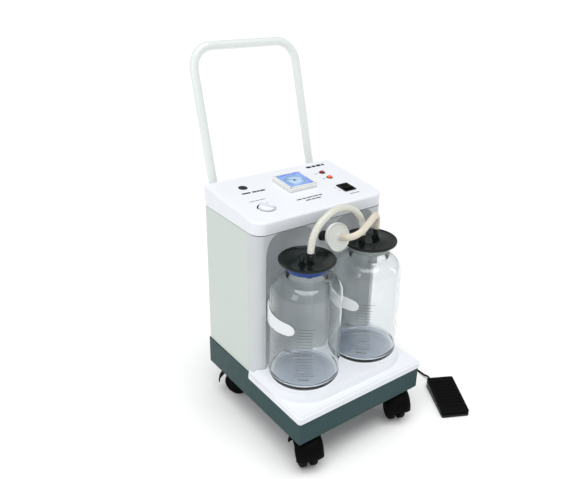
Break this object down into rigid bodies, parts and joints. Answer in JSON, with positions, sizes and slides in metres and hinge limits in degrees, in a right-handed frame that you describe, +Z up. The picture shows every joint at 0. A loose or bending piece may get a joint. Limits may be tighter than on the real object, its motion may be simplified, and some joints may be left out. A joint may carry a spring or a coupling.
{
  "type": "suction pump trolley",
  "caption": "Trolley-mounted electric suction pump with glass collection jars, sloping control panel, push handle, castors and a corded foot switch.",
  "frame": {"origin": "middle of the bounding box of everything but the cord, on the floor", "axes": "+X to the machine's right as seen from the front, -Y the front with the jars, +Z up"},
  "size_m": [0.4713, 0.5517, 0.7627],
  "materials": {
    "white_moulding": "semi-gloss moulded ABS",
    "cream_paint": "semi-gloss powder coat",
    "green_grey_paint": "satin paint",
    "black_plastic": "fine matt",
    "black_rubber": "matt",
    "grey_plastic": "satin",
    "gauge_white": "semi-gloss",
    "dial_blue": "printed",
    "clear_plastic": "clear, polished",
    "brass": "turned, satin",
    "steel": "machined",
    "lamp_red": "translucent lens",
    "lamp_orange": "translucent lens",
    "jar_glass": "clear, polished",
    "clip_white": "semi-gloss",
    "seal_blue": "satin",
    "seal_clear": "satin",
    "float_white": "satin",
    "silicone": "translucent",
    "filter_plastic": "milky, semi-gloss",
    "handle_white": "gloss enamel",
    "cast_grey": "cast, satin",
    "cord_black": "matt PVC"
  },
  "bodies": {
    "frame": {"base_frame": "green_grey_paint", "jar_tray": "white_moulding", "front_panel": "white_moulding", "side_panel_left": "cream_paint", "side_panel_right": "cream_paint", "rear_panel": "cream_paint", "top_cover": "white_moulding", "gauge_body": "gauge_white", "gauge_dial": "dial_blue", "gauge_window": "clear_plastic", "vacuum_valve": "brass", "power_switch_body": "black_plastic", "lamp_red": "lamp_red", "lamp_orange": "lamp_orange", "jar_left": "jar_glass", "jar_right": "jar_glass", "jar_clip_left": "clip_white", "jar_clip_right": "clip_white", "panel_nozzle": "black_rubber", "push_handle": "handle_white", "handle_socket_left": "grey_plastic", "handle_socket_right": "grey_plastic", "motor_stator": "cast_grey", "pump_head": "cast_grey", "suction_hose": "black_rubber", "mains_inlet": "black_plastic", "foot_switch_socket": "black_plastic", "foot_switch_base": "black_plastic", "foot_switch_pin": "steel", "foot_switch_gland": "black_rubber", "foot_cord_drop": "cord_black", "foot_cord_run": "cord_black", "foot_cord_coil": "cord_black"},
    "front_left_castor": {"castor_front_left_hood": "black_plastic"},
    "front_left_left_wheel": {"castor_front_left_wheel_left": "black_rubber"},
    "front_left_right_wheel": {"castor_front_left_wheel_right": "black_rubber"},
    "front_right_castor": {"castor_front_right_hood": "black_plastic"},
    "front_right_left_wheel": {"castor_front_right_wheel_left": "black_rubber"},
    "front_right_right_wheel": {"castor_front_right_wheel_right": "black_rubber"},
    "rear_left_castor": {"castor_rear_left_hood": "black_plastic"},
    "rear_left_left_wheel": {"castor_rear_left_wheel_left": "black_rubber"},
    "rear_left_right_wheel": {"castor_rear_left_wheel_right": "black_rubber"},
    "rear_right_castor": {"castor_rear_right_hood": "black_plastic"},
    "rear_right_left_wheel": {"castor_rear_right_wheel_left": "black_rubber"},
    "rear_right_right_wheel": {"castor_rear_right_wheel_right": "black_rubber"},
    "gauge_hand": {"gauge_needle": "black_plastic"},
    "regulator_knob": {"vacuum_knob": "white_moulding"},
    "rocker": {"power_switch_rocker": "black_plastic"},
    "pump_rotor": {"motor_rotor_and_fan": "steel"},
    "foot_pedal": {"foot_switch_pedal": "black_rubber"},
    "lid_set": {"lid_left": "black_plastic", "lid_right": "black_plastic", "lid_seal_left": "seal_blue", "lid_seal_right": "seal_clear", "overflow_cage": "clear_plastic", "jumper_tube": "silicone", "filter_tube": "silicone", "filter_front": "filter_plastic", "filter_back": "filter_plastic"},
    "float": {"overflow_float": "float_white"}
  },
  "joints": [
    {"name": "front_left_castor_swivel", "type": "hinge", "parent": "frame", "child": "front_left_castor", "pos_m": [-0.1957, -0.1515, 0.075], "axis": [0, 0, 1], "continuous": true},
    {"name": "front_left_left_wheel_spin", "type": "hinge", "parent": "front_left_castor", "child": "front_left_left_wheel", "pos_m": [-0.20117, -0.16654, 0.028], "axis": [-0.9397, 0.342, 0], "continuous": true},
    {"name": "front_left_right_wheel_spin", "type": "hinge", "parent": "front_left_castor", "child": "front_left_right_wheel", "pos_m": [-0.20117, -0.16654, 0.028], "axis": [-0.9397, 0.342, 0], "continuous": true},
    {"name": "front_right_castor_swivel", "type": "hinge", "parent": "frame", "child": "front_right_castor", "pos_m": [0.0483, -0.1515, 0.075], "axis": [0, 0, 1], "continuous": true},
    {"name": "front_right_left_wheel_spin", "type": "hinge", "parent": "front_right_castor", "child": "front_right_left_wheel", "pos_m": [0.04154, -0.166, 0.028], "axis": [-0.9063, 0.4226, 0], "continuous": true},
    {"name": "front_right_right_wheel_spin", "type": "hinge", "parent": "front_right_castor", "child": "front_right_right_wheel", "pos_m": [0.04154, -0.166, 0.028], "axis": [-0.9063, 0.4226, 0], "continuous": true},
    {"name": "rear_left_castor_swivel", "type": "hinge", "parent": "frame", "child": "rear_left_castor", "pos_m": [-0.1957, 0.1265, 0.075], "axis": [0, 0, 1], "continuous": true},
    {"name": "rear_left_left_wheel_spin", "type": "hinge", "parent": "rear_left_castor", "child": "rear_left_left_wheel", "pos_m": [-0.1877, 0.11264, 0.028], "axis": [-0.866, -0.5, 0], "continuous": true},
    {"name": "rear_left_right_wheel_spin", "type": "hinge", "parent": "rear_left_castor", "child": "rear_left_right_wheel", "pos_m": [-0.1877, 0.11264, 0.028], "axis": [-0.866, -0.5, 0], "continuous": true},
    {"name": "rear_right_castor_swivel", "type": "hinge", "parent": "frame", "child": "rear_right_castor", "pos_m": [0.0483, 0.1265, 0.075], "axis": [0, 0, 1], "continuous": true},
    {"name": "rear_right_left_wheel_spin", "type": "hinge", "parent": "rear_right_castor", "child": "rear_right_left_wheel", "pos_m": [0.04552, 0.11074, 0.028], "axis": [-0.9848, 0.1736, 0], "continuous": true},
    {"name": "rear_right_right_wheel_spin", "type": "hinge", "parent": "rear_right_castor", "child": "rear_right_right_wheel", "pos_m": [0.04552, 0.11074, 0.028], "axis": [-0.9848, 0.1736, 0], "continuous": true},
    {"name": "gauge_hand_turn", "type": "hinge", "parent": "frame", "child": "gauge_hand", "pos_m": [-0.0627, 0.084, 0.49443], "axis": [0, -0.0866, 0.9962], "range_deg": [-240, 0]},
    {"name": "regulator_knob_turn", "type": "hinge", "parent": "frame", "child": "regulator_knob", "pos_m": [-0.1757, 0.0165, 0.48857], "axis": [0, -0.0866, 0.9962], "range_deg": [-135, 135]},
    {"name": "power_rocker_tilt", "type": "hinge", "parent": "frame", "child": "rocker", "pos_m": [0.0258, 0.02097, 0.48695], "axis": [1, 0, 0], "range_deg": [0, 18]},
    {"name": "pump_rotor_spin", "type": "hinge", "parent": "frame", "child": "pump_rotor", "pos_m": [-0.1187, 0.0805, 0.212], "axis": [1, 0, 0], "continuous": true},
    {"name": "foot_pedal_press", "type": "hinge", "parent": "frame", "child": "foot_pedal", "pos_m": [0.1581, -0.24446, 0.0048], "axis": [0.8829, -0.4695, 0], "range_deg": [-1.8, 0], "stiffness_Nm_per_rad": 2, "springref_deg": 6.88},
    {"name": "lid_set_lift", "type": "slide", "parent": "frame", "child": "lid_set", "axis": [0, 0, 1], "range_m": [0, 0.15]},
    {"name": "overflow_float_rise", "type": "slide", "parent": "lid_set", "child": "float", "axis": [0, 0, 1], "range_m": [0, 0.02]}
  ]
}
